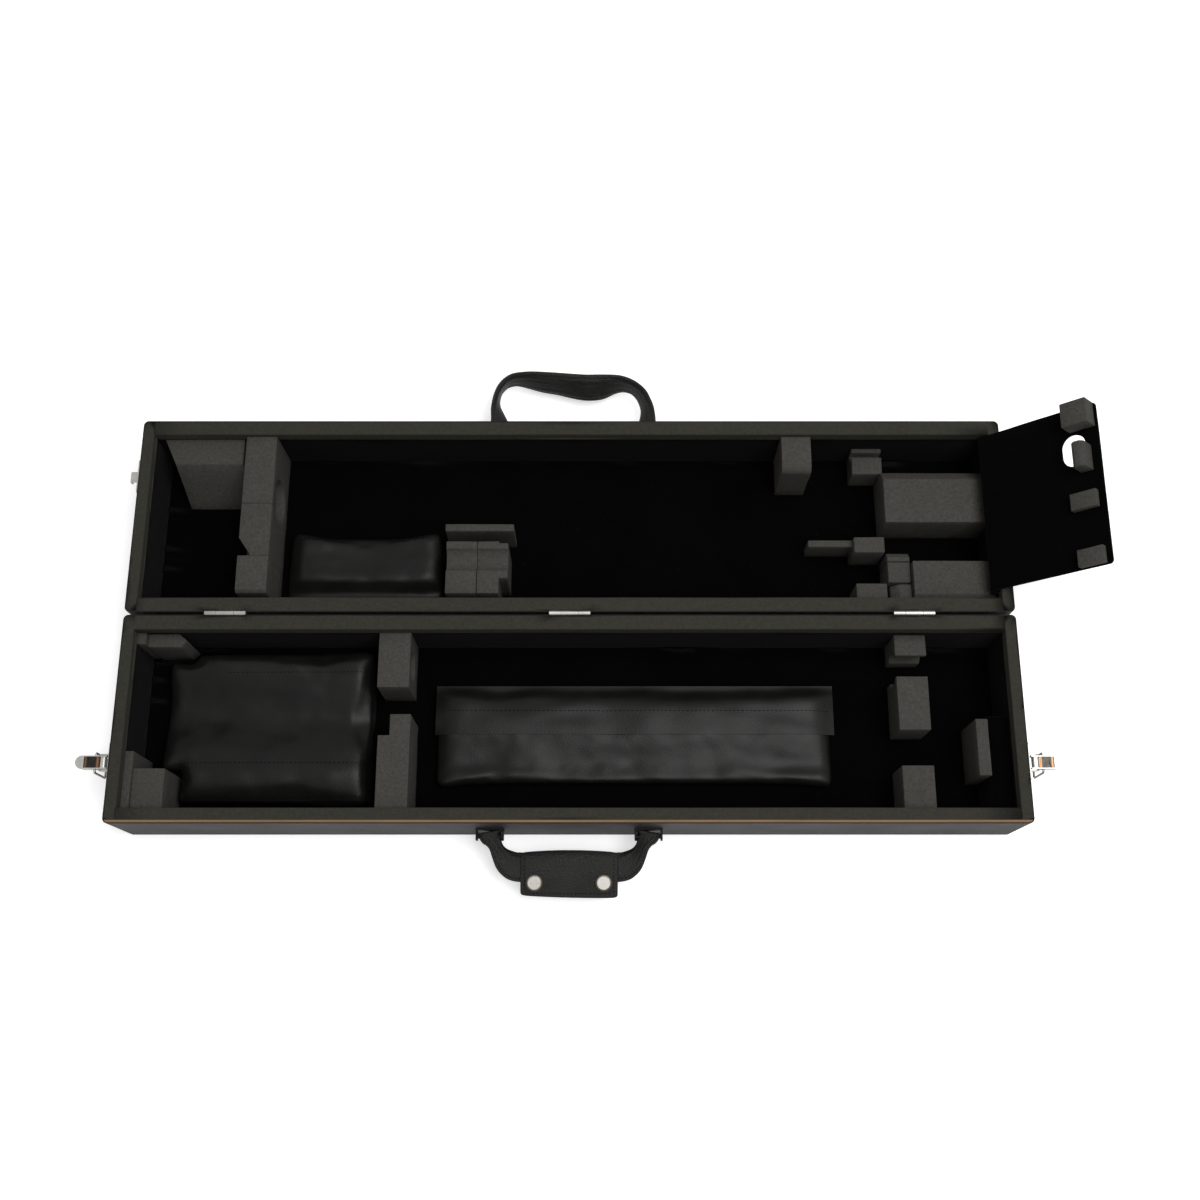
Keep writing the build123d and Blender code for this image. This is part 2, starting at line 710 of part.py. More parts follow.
def bell_stop():
    """Upright pad behind the front clarinet's bell, backed by a thicker part of the end lining."""
    x1, y0 = bell_stop_x + bell_stop_width, base_front + bell_stop_gap
    return box(bell_stop_x, x1, y0, y0 + bell_stop_depth, floor_top, bell_block_top)


def end_backing():
    """Velvet-covered filler between the bell stop and the end wall."""
    x0, y1 = bell_stop_x + bell_stop_width, base_front + end_backing_depth
    return box(x0, tray_end, base_front, y1, floor_top, bell_block_top - end_backing_drop)


# ---- foam blocks in the lid ----
def bell_wedge():
    """Wedge in the back left corner, sloped down to the front and cut away at the end for the bell."""
    y0, y1 = lid_rear - bell_wedge_depth, lid_rear
    ridge = (y0 + y1) / 2
    side = Polyline((y0, floor_top), (y1, floor_top), (y1, wedge_top), (ridge, wedge_top), close=True)
    x0 = -tray_end
    back, front = x0 + bell_cut_back, x0 + bell_cut_front
    wedge = Pos(back, 0, 0) * extrude(Plane.YZ * make_face(side), bell_wedge_width)
    cut = Polyline((x0, y1), (x0, y0 - 1), (front, y0 - 1), (front - 3, ridge), (back, y1), close=True)
    return wedge - extrude(make_face(cut), half_height)


def bore_divider():
    """Divider in three glued blocks, with a round recess for the bore and a corner cut off the front block."""
    x0, x1 = bore_divider_x - block_width / 2, bore_divider_x + block_width / 2
    y1, y0 = lid_rear - bore_rear_depth, lid_rear - bore_rear_depth - bore_middle_depth
    rear = beside_band(box(x0, x1, y1, lid_rear, floor_top, divider_top), lid_y)
    middle = box(x0, x1, y0, y1, floor_top, divider_top)
    front = box(x0, x1, lid_front + bore_front_gap, y0, floor_top, divider_top)
    front = chamfer(front.edges().filter_by(Axis.X).group_by(Axis.Z)[-1].sort_by(Axis.Y)[0], block_ease)
    bore = rod_x(x1 - bore_recess, x1 + 1, lid_rear - bore_gap, floor_top + bore_height, bore_radius)
    x2 = x0 + bore_corner_width
    corner = Polyline((x0 - 1, y0 + bore_corner_depth), (x2, y0 + 1.5), (x2, y0), (x0 - 1, y0), close=True)
    cut = Pos(0, 0, half_height / 2) * extrude(make_face(corner), half_height)
    return group([rear - bore, middle - bore - cut, front])


def joint_saddle():
    """Two glued blocks that carry the upper joint, the right one stepped."""
    x0, x1 = joint_saddle_x - joint_saddle_width / 2, joint_saddle_x + joint_saddle_width / 2
    y0 = lid_front + joint_saddle_gap
    y1 = y0 + joint_saddle_depth
    left = box(x0, joint_saddle_x, y0, y1, floor_top, lid_block_top)
    right = box(joint_saddle_x, x1, y0, y1, floor_top, lid_block_top)
    step_x = x1 - saddle_notch_width
    right -= box(step_x, x1 + 1, y1 - saddle_nick, y1 + 1, 0, half_height)
    right -= box(step_x, x1 + 1, y0 - 1, y0 + saddle_notch_depth, 0, half_height)
    tube = rod_x(x0 - 1, x1 + 1, lid_front + joint_gap, lid_block_top + joint_rise, joint_radius)
    return group([left - tube, right - tube])


def saddle_strip():
    """Low strip behind the saddle."""
    x, y0 = joint_saddle_x + saddle_nick / 2, lid_front + saddle_strip_gap
    return foam(x, saddle_strip_length, y0, y0 + saddle_strip_depth, saddle_strip_top)


def peg_block():
    """Block at the back wall with a rolled front edge."""
    block = foam(peg_block_x, peg_block_width, lid_rear - peg_block_depth, lid_rear, divider_top)
    front = block.edges().filter_by(Axis.X).group_by(Axis.Z)[-1].sort_by(Axis.Y)[0]
    return beside_band(fillet(front, peg_block_roll), lid_y)


def peg_cradle():
    """Low block with a slot for the rod of the floor peg."""
    block = foam(peg_cradle_x, block_width, lid_rear - peg_cradle_depth, lid_rear, peg_cradle_top)
    y1 = lid_rear - peg_slot_gap
    x0, x1 = peg_cradle_x - block_width, peg_cradle_x + block_width
    return block - box(x0, x1, y1 - peg_slot_width, y1, peg_cradle_top - peg_slot_depth, half_height)


def key_block():
    """Large block behind the end of the lower joint, with a slope at its back."""
    y1 = lid_rear - key_block_gap
    block = box(key_block_x, tray_end, y1 - key_block_depth, y1, floor_top, panel_block_top)
    back = block.edges().filter_by(Axis.X).group_by(Axis.Z)[-1].sort_by(Axis.Y)[-1]
    return chamfer(back, key_slope_drop, key_slope_depth)


def end_block():
    """Block at the hinge side of the lid's right end."""
    y0 = lid_front + end_block_gap
    block = box(end_block_x, tray_end, y0, y0 + end_block_depth, floor_top, panel_block_top)
    edge = block.edges().filter_by(Axis.X).group_by(Axis.Z)[-1].sort_by(Axis.Y)[0]
    return chamfer(edge, end_block_ease)


def joint_cradles():
    """Cradles under the end of the upper joint: rear one with its low wing, and front one."""
    x1 = key_block_x - plug_fit
    x0 = x1 - block_width
    y0, y2 = lid_front + rear_cradle_gap, lid_front + front_cradle_gap
    y1 = y0 + rear_cradle_depth
    rear = box(x0, x1, y0, y1, floor_top, cradle_top)
    rear += box(x0 - wing_length, x0, y1 - wing_depth, y1, floor_top, cradle_top - wing_drop)
    return group([rear, box(x0, x1, y2, y2 + front_cradle_depth, floor_top, cradle_top)])


def plug(span, set_back=0.0):
    """One offcut between the cradles and the end block, and its upper edges."""
    x0, x1 = key_block_x + 2 * plug_fit + set_back, end_block_x - plug_fit
    block = box(x0, x1, lid_front + span[0], lid_front + span[1], floor_top, cradle_top)
    return block, block.edges().group_by(Axis.Z)[-1]


def joint_plugs():
    """Three offcuts packed between the cradles and the end block."""
    rear, rear_edges = plug(rear_plug_span)
    middle, _ = plug(middle_plug_span)
    front, front_edges = plug(front_plug_span, 5 * plug_fit)
    rear = chamfer(rear_edges.sort_by(Axis.Y)[-1], rear_plug_ease)
    front = chamfer(front_edges.sort_by(Axis.X)[0], front_plug_ease)
    return group([rear, middle, front])


# ---- soft pouches on the floors ----
def pouch(x0, x1, y0, y1, height):
    """Flat soft pouch lying on a floor."""
    body = box(x0, x1, y0, y1, floor_top, floor_top + height)
    return fillet(body.edges().filter_by(Axis.Z), pouch_corner)


def bell_pouch():
    """Pouch under the bell, cut round the front pad and the sloped block."""
    x0, y0 = bell_pad_end + bell_pouch_gap, base_front + bell_pouch_front
    x1, y1 = neck_divider_x - block_width / 2 - bell_pouch_side, base_rear - bell_pouch_rear
    pad_x, pad_y = bell_pad_end + bell_pad_reach + pouch_cut_gap, base_front + front_pad_depth + pouch_cut_gap
    block_x, block_y = pad_x + spine_slope_reach, base_rear - spine_slope_depth - pouch_cut_gap
    cuts = [box(x0 - 1, pad_x, y0 - 1, pad_y, 0, half_height)]
    cuts.append(box(x0 - 1, block_x, block_y, y1 + 1, 0, half_height))
    return pouch(x0, x1, y0, y1, bell_pouch_height) - cuts


def middle_pouch():
    """Pouch between the neck dividers and the clarinet dividers."""
    x0 = neck_divider_x + middle_pouch_gap
    x1 = base_divider_x - block_width / 2 - middle_pouch_side
    y0, y1 = base_front + middle_pouch_front, base_rear - middle_pouch_rear
    return pouch(x0, x1, y0, y1, pouch_height)


def lid_pouch():
    """Pouch in the lid between the bore divider and the saddle."""
    x0 = bore_divider_x + block_width / 2 + lid_pouch_gap
    x1 = joint_saddle_x - joint_saddle_width / 2 - lid_pouch_side
    y0 = lid_front + lid_pouch_front
    return pouch(x0, x1, y0, y0 + lid_pouch_depth, pouch_height)


def nodes():
    """Every piece by its node name."""
    made = {}
    for half, y, side in (("base", 0.0, 1), ("lid", lid_y, -1)):
        made[f"{half}_cover_floor"] = cover_floor(y)
        made[f"{half}_cover_walls"] = cover_walls(y, side)
        made[f"{half}_floor_board"] = floor_board_of(y)
        made[f"{half}_wall_boards"] = wall_boards(y, side)
        made[f"{half}_rim_band"] = rim_band(y, side)
        made[f"{half}_wall_lining"] = wall_lining(y)
        made[f"{half}_floor_lining"] = floor_lining_of(y)
        made[f"{half}_hinge_leaves"] = hinge_leaves(y, side, middle=side < 0)
        made[f"{half}_hinge_screws"] = group(hinge_screws(y, side))
    made["hinge_pins"] = hinge_pins()
    plate_rivets = rivets(1, latch_y, latch_pivot_z) + rivets(-1, latch_y, latch_pivot_z)
    catch_z = half_height - 1.5 - catch_height / 2
    catch_rivets = rivets(1, catch_y, catch_z) + rivets(-1, catch_y, catch_z)
    made["latch_plates"] = group(both_ends(latch_plate()))
    made["latch_rivets"] = group(plate_rivets)
    made["catches"] = group(both_ends(catch()))
    made["catch_rivets"] = group(catch_rivets)
    made["latch_lever_right"], made["latch_lever_left"] = both_ends(latch_lever())
    made["latch_bail_right"], made["latch_bail_left"] = both_ends(latch_bail())
    front_wall, back_wall = -half_width / 2, lid_y + half_width / 2
    rear_strap = strap_flat(rear_leg_pitch, rear_reach, rear_strap_width, rear_shoulder)
    made["front_handle_anchors"] = handle_anchors(front_wall, -1, front_leg_pitch)
    made["rear_handle_anchors"] = handle_anchors(back_wall, 1, rear_leg_pitch)
    made["front_handle_strap"] = placed_handle(front_strap_flat(), front_wall, -1)
    made["front_handle_grip"] = placed_handle(front_grip_flat(), front_wall, -1)
    made["front_handle_snaps"] = placed_handle(front_snaps_flat(), front_wall, -1)
    made["rear_handle_strap"] = placed_handle(rear_strap, back_wall, 1)
    made["panel_board"] = panel_place() * panel_board_flat()
    made["panel_peg_press"] = panel_place() * panel_block_flat(peg_press_at, peg_press_size)
    made["panel_joint_press"] = panel_place() * joint_press_flat()
    pads = [panel_place() * panel_block_flat(at, panel_pad_size) for at in (rear_pad_at, front_pad_at)]
    made["panel_pads"] = group(pads)
    made["panel_ledge"] = panel_ledge()
    made["bell_pads"] = bell_pads()
    made["bell_spine_blocks"] = bell_spine_blocks()
    made["neck_divider_rear"] = neck_divider_rear()
    made["neck_divider_front"] = neck_divider_front()
    for place, block in zip(("rear", "middle", "front"), clarinet_dividers()):
        made[f"clarinet_divider_{place}"] = block
    made["bell_stop"] = bell_stop()
    made["end_backing"] = end_backing()
    made["bell_wedge"] = bell_wedge()
    made["bore_divider"] = bore_divider()
    made["joint_saddle"] = joint_saddle()
    made["saddle_strip"] = saddle_strip()
    made["peg_block"] = peg_block()
    made["peg_cradle"] = peg_cradle()
    made["key_block"] = key_block()
    made["end_block"] = end_block()
    made["joint_cradles"] = joint_cradles()
    made["joint_plugs"] = joint_plugs()
    made["bell_pouch"] = bell_pouch()
    made["middle_pouch"] = middle_pouch()
    made["lid_pouch"] = lid_pouch()
    return made


def main():
    """Writes one STEP file for each node."""
    os.makedirs("parts", exist_ok=True)
    made = nodes()
    for name, shape in made.items():
        export_step(shape, f"parts/{name}.step")
    print(len(made), "nodes")


main()
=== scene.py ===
import json
import math

import bmesh
import bpy
from mathutils import Matrix, Vector, noise
from mathutils.bvhtree import BVHTree

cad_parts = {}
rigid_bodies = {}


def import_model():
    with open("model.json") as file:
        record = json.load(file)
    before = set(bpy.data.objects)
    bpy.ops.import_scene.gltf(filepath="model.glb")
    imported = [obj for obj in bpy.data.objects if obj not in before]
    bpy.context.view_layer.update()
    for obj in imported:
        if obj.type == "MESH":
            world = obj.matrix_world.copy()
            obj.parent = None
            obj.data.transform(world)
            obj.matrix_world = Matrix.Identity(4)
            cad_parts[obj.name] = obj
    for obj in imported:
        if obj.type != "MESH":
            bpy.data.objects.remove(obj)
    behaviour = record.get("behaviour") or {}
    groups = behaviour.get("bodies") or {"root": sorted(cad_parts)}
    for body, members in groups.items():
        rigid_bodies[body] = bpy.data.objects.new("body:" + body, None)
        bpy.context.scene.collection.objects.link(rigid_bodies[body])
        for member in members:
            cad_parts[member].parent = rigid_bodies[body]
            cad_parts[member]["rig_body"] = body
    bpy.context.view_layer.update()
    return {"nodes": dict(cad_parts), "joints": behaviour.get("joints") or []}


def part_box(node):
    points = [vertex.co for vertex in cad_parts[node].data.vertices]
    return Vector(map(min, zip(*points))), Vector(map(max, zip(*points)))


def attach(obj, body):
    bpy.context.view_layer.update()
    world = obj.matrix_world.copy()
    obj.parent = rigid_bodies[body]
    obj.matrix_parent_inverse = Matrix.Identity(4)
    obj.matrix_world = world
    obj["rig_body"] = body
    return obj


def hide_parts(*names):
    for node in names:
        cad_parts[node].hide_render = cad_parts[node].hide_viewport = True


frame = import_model()
nodes = frame["nodes"]

# ---- The covered shell ----
# Two shallow boxes of thin plywood. Black vinyl cloth with a pebbled grain is glued round the outside
# and turned in at the rims, with the bottom edge wrapped as a pan.


class Value:
    """A socket in a material, with the usual arithmetic."""

    def __init__(self, paint, out):
        self.paint, self.out = paint, out

    def sum(self, operation, first, second):
        return self.paint.node("ShaderNodeMath", {"operation": operation}, {0: first, 1: second})

    def __add__(self, other):
        return self.sum("ADD", self, other)

    def __radd__(self, other):
        return self.sum("ADD", other, self)

    def __sub__(self, other):
        return self.sum("SUBTRACT", self, other)

    def __rsub__(self, other):
        return self.sum("SUBTRACT", other, self)

    def __mul__(self, other):
        return self.sum("MULTIPLY", self, other)

    def __pow__(self, other):
        return self.sum("POWER", self, other)


class Paint:
    """A material under a plain name, built node by node on Object coordinates."""

    def __init__(self, name):
        self.material = bpy.data.materials.new(name)
        self.material.use_nodes = True
        self.tree = self.material.node_tree
        self.shader = self.tree.nodes["Principled BSDF"]
        self.place = self.node("ShaderNodeTexCoord", {}, {}, "Object")

    def node(self, kind, settings, inputs, output=0):
        made = self.tree.nodes.new(kind)
        for key, value in settings.items():
            setattr(made, key, value)
        for key, value in inputs.items():
            if isinstance(value, Value):
                self.tree.links.new(value.out, made.inputs[key])
            else:
                made.inputs[key].default_value = value
        return Value(self, made.outputs[output])

    def part(self, axis):
        """One coordinate: 0 along the case, 1 towards the back, 2 up."""
        return self.node("ShaderNodeSeparateXYZ", {}, {"Vector": self.place}, axis)

    def size(self, value):
        return self.node("ShaderNodeMath", {"operation": "ABSOLUTE"}, {0: value})

    def rise(self, value, low, high):
        """A mask that climbs from 0 at the low value to 1 at the high one."""
        return self.node("ShaderNodeMapRange", {}, {"Value": value, "From Min": low, "From Max": high})

    def stretch(self, scale):
        return self.node("ShaderNodeMapping", {}, {"Vector": self.place, "Scale": scale})

    def speckle(self, scale, detail=2.0, place=None):
        inputs = {"Vector": place or self.place, "Scale": scale, "Detail": detail}
        return self.node("ShaderNodeTexNoise", {}, inputs, "Fac")

    def cells(self, scale, feature="F1"):
        kept = {"Vector": self.place, "Scale": scale}
        return self.node("ShaderNodeTexVoronoi", {"feature": feature}, kept, "Distance")

    def mix(self, share, first, second):
        kept = {"Factor": share, "A": (*first, 1) if isinstance(first, tuple) else first}
        kept["B"] = (*second, 1) if isinstance(second, tuple) else second
        made = self.tree.nodes.new("ShaderNodeMix")
        made.data_type = "RGBA"
        for key, socket in (("Factor", made.inputs[0]), ("A", made.inputs[6]), ("B", made.inputs[7])):
            if isinstance(kept[key], Value):
                self.tree.links.new(kept[key].out, socket)
            else:
                socket.default_value = kept[key]
        return Value(self, made.outputs[2])

    def relief(self, height, distance, strength=1.0):
        return self.node("ShaderNodeBump", {}, {"Strength": strength, "Distance": distance, "Height": height})

    def wear(self, **sockets):
        for key, value in sockets.items():
            socket = self.shader.inputs[key.replace("_", " ")]
            if isinstance(value, Value):
                self.tree.links.new(value.out, socket)
            else:
                socket.default_value = value
        return self.material


def dress(node, material):
    """Gives a carried-over node its material."""
    mesh = nodes[node].data
    mesh.materials.clear()
    mesh.materials.append(material)


vinyl = Paint("pebbled_vinyl")
pebbles = vinyl.cells(850.0)
scuffs = vinyl.speckle(22.0, 6.0)
vinyl.wear(
    Base_Color=vinyl.mix(scuffs, (0.005, 0.005, 0.005), (0.013, 0.013, 0.012)),
    Roughness=0.46 + scuffs * 0.2,
    Specular_IOR_Level=0.10,
    Normal=vinyl.relief(pebbles, 0.0004, 0.8),
)
for half in ("base", "lid"):
    dress(f"{half}_cover_floor", vinyl.material)
    dress(f"{half}_cover_walls", vinyl.material)

# ---- Plywood boards ----
# Birch plywood walls and floors. Only the top edge of the front wall shows, as a narrow brown lip in
# front of the rim band, with the plies running along it.
plywood = Paint("birch_plywood")
plies = plywood.speckle(60.0, 4.0, plywood.stretch((0.15, 12.0, 12.0)))
stain = plywood.speckle(35.0, 5.0)
wood = plywood.mix(plies, (0.13, 0.075, 0.035), (0.33, 0.21, 0.115))
plywood.wear(
    Base_Color=plywood.mix(stain * 0.5, wood, (0.10, 0.06, 0.035)),
    Roughness=0.72,
    Specular_IOR_Level=0.2,
    Normal=plywood.relief(plies, 0.0003, 0.6),
)
for half in ("base", "lid"):
    dress(f"{half}_floor_board", plywood.material)
    dress(f"{half}_wall_boards", plywood.material)

# ---- Rim bands ----
# Dense charcoal foam band, glued over the top of the walls and down inside. The end bands run the
# full width and the long ones butt against them.


weld_steps = 100000
weld_reach = 1 / weld_steps
crisp = math.radians(50)


def shaped(form, name, material):
    """A finished form as a smooth piece in one material."""
    for face in form.faces:
        face.smooth = True
    mesh = bpy.data.meshes.new(name)
    form.to_mesh(mesh)
    form.free()
    mesh.materials.append(material)
    piece = bpy.data.objects.new(name, mesh)
    bpy.context.scene.collection.objects.link(piece)
    return piece


def weld_solids(form):
    """Joins the split corners of each closed solid in a form, and keeps touching solids apart."""
    corners, unmatched = {}, set()
    solids = []
    for face in form.faces:
        corners.update(dict.fromkeys(face.verts))
        for loop in face.loops:
            ends = (loop.vert.co, loop.link_loop_next.vert.co)
            unmatched ^= {frozenset(tuple(round(value * weld_steps) for value in end) for end in ends)}
        if not unmatched:
            solids.append(list(corners))
            corners = {}
    for solid in solids + [list(corners)]:
        bmesh.ops.remove_doubles(form, verts=solid, dist=weld_reach)


def soften(node, name, material, edge, unevenness=0.0003):
    """A foam or cloth-covered piece over its carried solid: cut edges worn round, faces a little uneven."""
    source = nodes[node]
    form = bmesh.new()
    form.from_mesh(source.data)
    weld_solids(form)
    flat, corner = math.radians(1.5), math.radians(30)
    bmesh.ops.dissolve_limit(form, angle_limit=flat, verts=form.verts, edges=form.edges)
    sharp = [e for e in form.edges if e.is_manifold and e.calc_face_angle(0) > corner]
    bmesh.ops.bevel(
        form, geom=sharp, offset=edge, offset_type="OFFSET", segments=2, profile=0.5, affect="EDGES",
        clamp_overlap=True, material=-1,
    )
    bmesh.ops.triangulate(form, faces=form.faces)
    for longest in (0.16, 0.08, 0.04, 0.02):
        long = [e for e in form.edges if e.calc_length() > longest]
        bmesh.ops.subdivide_edges(form, edges=long, cuts=1)
        bmesh.ops.triangulate(form, faces=form.faces)
    broad, close, sunk = 38.0, 110.0, 0.4
    for vertex in form.verts:
        bump = noise.noise(vertex.co * broad) + 0.5 * noise.noise(vertex.co * close)
        vertex.co += vertex.normal * (bump - sunk) * unevenness
    piece = shaped(form, name, material)
    piece.data.set_sharp_from_angle(angle=crisp)
    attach(piece, source["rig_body"])
    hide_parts(node)
    return piece


band = Paint("charcoal_band")
pores = band.speckle(1500.0, 3.0)
mottle = band.speckle(330.0, 3.0)
patches = band.speckle(9.0, 5.0)
band_colour = band.mix(pores * 0.5 + mottle * 0.5, (0.004, 0.004, 0.003), (0.055, 0.053, 0.043))
band.wear(
    Base_Color=band.mix(patches * 0.40, band_colour, (0.040, 0.039, 0.032)),
    Roughness=0.95,
    Specular_IOR_Level=0.12,
    Normal=band.relief(pores, 0.0005, 0.7),
)
for half in ("base", "lid"):
    soften(f"{half}_rim_band", f"{half}_rim_padding", band.material, edge=0.0006)

# ---- Velvet linings ----
# Black velvet glued over thin wadding on the walls and floors, and over the board and filler pieces.
# The pile drinks most of the light, with a little lint on it.
velvet = Paint("black_velvet")
lint = velvet.speckle(420.0, 8.0)
pile = velvet.speckle(2600.0, 2.0)
brushed = velvet.speckle(14.0, 4.0)
fleck = velvet.rise(lint, 0.70, 0.78)
nap = velvet.mix(brushed, (0.0006, 0.0006, 0.0006), (0.0020, 0.0019, 0.0020))
velvet.wear(
    Base_Color=velvet.mix(fleck * 0.5, nap, (0.028, 0.026, 0.023)),
    Roughness=1.0,
    Specular_IOR_Level=0.01,
    Sheen_Weight=0.02,
    Sheen_Roughness=0.5,
    Normal=velvet.relief(pile, 0.0005, 0.6),
)
for half in ("base", "lid"):
    soften(f"{half}_wall_lining", f"{half}_velvet_walls", velvet.material, edge=0.0005)
    soften(f"{half}_floor_lining", f"{half}_velvet_floor", velvet.material, edge=0.0005)
soften("end_backing", "velvet_filler", velvet.material, edge=0.0015)

# ---- Spine hinges and other nickel ----
# Pressed nickel-plated steel: leaves rolled into knuckles round a pin, with countersunk screws. The
# same plate covers the latches and the catches.
nickel = Paint("worn_nickel")
rubbed = nickel.speckle(30.0, 6.0)
drawn = nickel.speckle(500.0, 3.0, nickel.stretch((0.08, 1.0, 1.0)))
nickel.wear(
    Base_Color=nickel.mix(rubbed, (0.17, 0.165, 0.155), (0.46, 0.45, 0.42)),
    Metallic=1.0,
    Roughness=0.22 + rubbed * 0.16 + drawn * 0.08,
    Normal=nickel.relief(drawn, 0.00006, 0.4),
)
plated = [
    "base_hinge_leaves", "lid_hinge_leaves", "base_hinge_screws", "lid_hinge_screws", "hinge_pins",
    "latch_plates", "latch_rivets", "catches", "catch_rivets", "latch_bail_right", "latch_bail_left",
]
for node in plated:
    dress(node, nickel.material)

# ---- Latch levers ----
# Pressed nickel-plated levers. The sunk web is glassy, and its colour is darkened as a painted dark
# reflection of the surroundings, with brown bands near its two ends. The flanges' edges and the rounded tip
# keep the plain bright nickel.


def between(paint, value, low, high, soft):
    """A mask that is 1 where a value lies between two limits."""
    past_low = paint.rise(value, low - soft, low + soft)
    past_high = paint.rise(value, high - soft, high + soft)
    return past_low * (1 - past_high)


lever = Paint("lever_nickel")
from_middle = lever.size(lever.part(0))
tarnish = lever.speckle(160.0, 5.0)
pressed = 0.0002
web_length = between(lever, from_middle, 0.4462, 0.4618, pressed)
web_width = between(lever, lever.part(1), -0.0474, -0.0366, pressed)
web_depth = between(lever, lever.part(2), 0.0668, 0.0720, pressed)
# Mask of the sunk web, where painted dark reflection replaces the plain nickel colour.
dark_reflection_web = web_length * web_width * web_depth
fringe = 0.0005
# Brown bands near the two ends of the sunk web.
inner_brown_band = between(lever, from_middle, 0.4478, 0.4500, fringe)
outer_brown_band = between(lever, from_middle, 0.4592, 0.4606, fringe)
brown_bands = inner_brown_band + outer_brown_band
# Painted dark reflection: the sunk web's colour darkened to stand for the dark surroundings it mirrors.
painted_dark_reflection = lever.mix(tarnish, (0.006, 0.006, 0.006), (0.050, 0.046, 0.042))
bright = lever.mix(tarnish, (0.25, 0.245, 0.23), (0.50, 0.49, 0.46))
# The sunk web's colour: the painted dark reflection with the brown bands mixed in.
sunk = lever.mix(brown_bands * 0.7, painted_dark_reflection, (0.24, 0.13, 0.06))
lever.wear(
    Base_Color=lever.mix(dark_reflection_web, bright, sunk),
    Metallic=1.0,
    Roughness=0.34 + tarnish * 0.12 - dark_reflection_web * 0.26,
    Normal=lever.relief(tarnish, 0.00005, 0.4),
)
for side in ("right", "left"):
    dress(f"latch_lever_{side}", lever.material)

# ---- Snap buttons ----
# Domed caps of nickel-plated brass, riveted through the wrap of the front handle. The crowns keep the plain
# nickel colour, and a dark brown ring of painted shade is laid round the rims.
snap = Paint("snap_nickel")
brushed = snap.speckle(700.0, 3.0)
snap_spread, snap_line = 0.033, -0.152
off_centre = snap.size(snap.part(0)) - snap_spread
off_line = snap.part(1) - snap_line
reach = (off_centre * off_centre + off_line * off_line) ** 0.5
# Painted shade: a dark brown ring round each cap's rim, where the dome turns down to the leather.
rim_shade = snap.rise(reach, 0.0060, 0.0070)
crown = snap.mix(brushed, (0.20, 0.19, 0.175), (0.34, 0.33, 0.305))
snap.wear(
    Base_Color=snap.mix(rim_shade * 0.95, crown, (0.060, 0.042, 0.030)),
    Metallic=1.0,
    Roughness=0.26 + brushed * 0.14 + rim_shade * 0.2,
    Normal=snap.relief(brushed, 0.00005, 0.4),
)
dress("front_handle_snaps", snap.material)

# ---- Handle brackets ----
# Folded steel brackets, fixed to the front and rear walls, with the pins that the straps turn on.
# They are stoved in black enamel that is chipped at the edges.
enamel = Paint("black_enamel")
chips = enamel.speckle(260.0, 5.0)
bare = enamel.rise(chips, 0.66, 0.70)
enamel.wear(
    Base_Color=enamel.mix(bare, (0.004, 0.004, 0.004), (0.09, 0.088, 0.085)),
    Roughness=0.40 + chips * 0.2,
    Specular_IOR_Level=0.12,
    Metallic=bare,
    Normal=enamel.relief(chips, 0.0002, 0.3),
)
for side in ("front", "rear"):
    dress(f"{side}_handle_anchors", enamel.material)

# ---- Foam rests ----
# Charcoal foam blocks, cut with a saw and glued on the lining. They hold the joints, the bell and the
# floor peg apart, and their cut faces show open pores.
foam = Paint("cut_foam")
open_pores = foam.speckle(1300.0, 4.0)
grime = foam.speckle(28.0, 5.0)
mottled = foam.speckle(380.0, 3.0)
foam_colour = foam.mix(open_pores * 0.5 + mottled * 0.5, (0.004, 0.004, 0.003), (0.112, 0.107, 0.096))
foam.wear(
    Base_Color=foam.mix(grime * 0.4, foam_colour, (0.034, 0.033, 0.030)),
    Roughness=0.97,
    Specular_IOR_Level=0.10,
    Normal=foam.relief(open_pores, 0.0006, 0.8),
)
rests = [
    "bell_pads", "bell_spine_blocks", "neck_divider_rear", "neck_divider_front",
    "clarinet_divider_rear", "clarinet_divider_middle", "clarinet_divider_front",
    "bell_stop", "bell_wedge", "bore_divider", "joint_saddle", "saddle_strip",
    "peg_block", "peg_cradle", "key_block", "end_block", "joint_cradles", "joint_plugs",
]
sawn = 0.0008
for node in rests:
    soften(node, f"{node}_foam", foam.material, edge=sawn)

# ---- Accessory panel ----
# A thin board wrapped in velvet, with an oval finger hole. It is hung by its covering from a batten on
# the end wall and carries foam blocks that press on what lies below.
soften("panel_board", "panel_velvet", velvet.material, edge=0.0006)
soften("panel_ledge", "panel_batten", velvet.material, edge=0.0006)
for node in ("panel_peg_press", "panel_joint_press", "panel_pads"):
    soften(node, f"{node}_foam", foam.material, edge=sawn)

# ---- Pouches ----
# Flat pouches of soft black leatherette, loosely filled, lying on the floors under the joints. They are
# sewn shut round the edge, with a stitched band or flap across the top.
leatherette = Paint("soft_leatherette")
creases = leatherette.cells(420.0, "DISTANCE_TO_EDGE")
sheen_patches = leatherette.speckle(40.0, 4.0)
leatherette.wear(
    Base_Color=leatherette.mix(sheen_patches, (0.0030, 0.0029, 0.0027), (0.0085, 0.0081, 0.0075)),
    Roughness=0.30 + sheen_patches * 0.14,
    Specular_IOR_Level=0.14,
    Normal=leatherette.relief(creases, 0.0003, 0.5),
)
thread = Paint("waxed_thread")
thread.wear(
    Base_Color=thread.mix(thread.speckle(2000.0), (0.0010, 0.0010, 0.0010), (0.0035, 0.0034, 0.0032)),
    Roughness=0.7,
    Specular_IOR_Level=0.06,
)


def baked(piece):
    """Works a piece's modifiers into its mesh."""
    mesh = bpy.data.meshes.new_from_object(piece.evaluated_get(bpy.context.evaluated_depsgraph_get()))
    piece.modifiers.clear()
    piece.data = mesh
    return mesh


def refined(piece, levels):
    """Rounds a piece off by subdivision."""
    fine = piece.modifiers.new("fine", "SUBSURF")
    fine.levels = fine.render_levels = levels
    return baked(piece)


